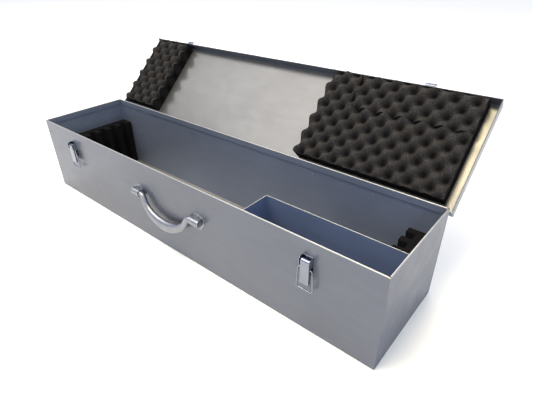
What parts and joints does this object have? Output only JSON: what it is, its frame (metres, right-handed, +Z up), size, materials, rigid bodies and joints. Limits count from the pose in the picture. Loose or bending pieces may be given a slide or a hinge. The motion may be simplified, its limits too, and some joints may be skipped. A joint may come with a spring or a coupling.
{
  "type": "art supply box",
  "caption": "Long sheet-steel art supply case with hinged lid, draw latches, front carrying handle, foam-padded lid and notched foam tool rests.",
  "frame": {"origin": "centre of the floor panel's underside", "axes": "+X along the case to the right, +Y from the front wall with the handle to the hinged back, +Z up"},
  "size_m": [0.9192, 0.4148, 0.3202],
  "materials": {
    "painted_steel": "semi-gloss silver-grey paint",
    "hinge_steel": "semi-gloss silver-grey paint",
    "nickel": "bright nickel plate",
    "handle_metal": "satin nickel plate",
    "charcoal_foam": "open-cell foam",
    "black_foam": "closed-cell foam"
  },
  "bodies": {
    "case": {"body_wrap": "painted_steel", "end_panel_left": "painted_steel", "end_panel_right": "painted_steel", "divider_panel": "painted_steel", "hinge_body_leaf": "hinge_steel", "hinge_pin": "hinge_steel", "comb_block_left": "black_foam", "comb_block_right": "black_foam", "latch_left_base": "nickel", "latch_left_pin": "nickel", "latch_left_rivet_1": "nickel", "latch_left_rivet_2": "nickel", "handle_clip_left": "nickel", "handle_left_rivet_1": "nickel", "handle_left_rivet_2": "nickel", "latch_right_base": "nickel", "latch_right_pin": "nickel", "latch_right_rivet_1": "nickel", "latch_right_rivet_2": "nickel", "handle_clip_right": "nickel", "handle_right_rivet_1": "nickel", "handle_right_rivet_2": "nickel"},
    "lid": {"lid_shell": "painted_steel", "hinge_lid_leaf": "hinge_steel", "foam_pad_left": "charcoal_foam", "foam_pad_right_main": "charcoal_foam", "foam_pad_right_inset": "charcoal_foam", "keeper_left": "nickel", "keeper_left_rivet_1": "nickel", "keeper_left_rivet_2": "nickel", "keeper_right": "nickel", "keeper_right_rivet_1": "nickel", "keeper_right_rivet_2": "nickel"},
    "lever_left": {"latch_left_lever": "nickel"},
    "bail_left": {"latch_left_bail": "nickel"},
    "lever_right": {"latch_right_lever": "nickel"},
    "bail_right": {"latch_right_bail": "nickel"},
    "handle": {"handle_grip": "handle_metal"}
  },
  "joints": [
    {"name": "lid_hinge", "type": "hinge", "parent": "case", "child": "lid", "pos_m": [0, 0.11075, 0.168], "axis": [1, 0, 0], "range_deg": [0, 136.6]},
    {"name": "lever_left_hinge", "type": "hinge", "parent": "case", "child": "lever_left", "pos_m": [-0.333, -0.1118, 0.1465], "axis": [-1, 0, 0], "range_deg": [0, 140]},
    {"name": "bail_left_hinge", "type": "hinge", "parent": "lever_left", "child": "bail_left", "pos_m": [-0.333, -0.1132, 0.1345], "axis": [1, 0, 0], "range_deg": [-180, 0]},
    {"name": "lever_right_hinge", "type": "hinge", "parent": "case", "child": "lever_right", "pos_m": [0.333, -0.1118, 0.1465], "axis": [-1, 0, 0], "range_deg": [0, 140]},
    {"name": "bail_right_hinge", "type": "hinge", "parent": "lever_right", "child": "bail_right", "pos_m": [0.333, -0.1132, 0.1345], "axis": [1, 0, 0], "range_deg": [-180, 0]},
    {"name": "handle_hinge", "type": "hinge", "parent": "case", "child": "handle", "pos_m": [0.002, -0.1144, 0.113], "axis": [-1, 0, 0], "range_deg": [0, 90]}
  ]
}
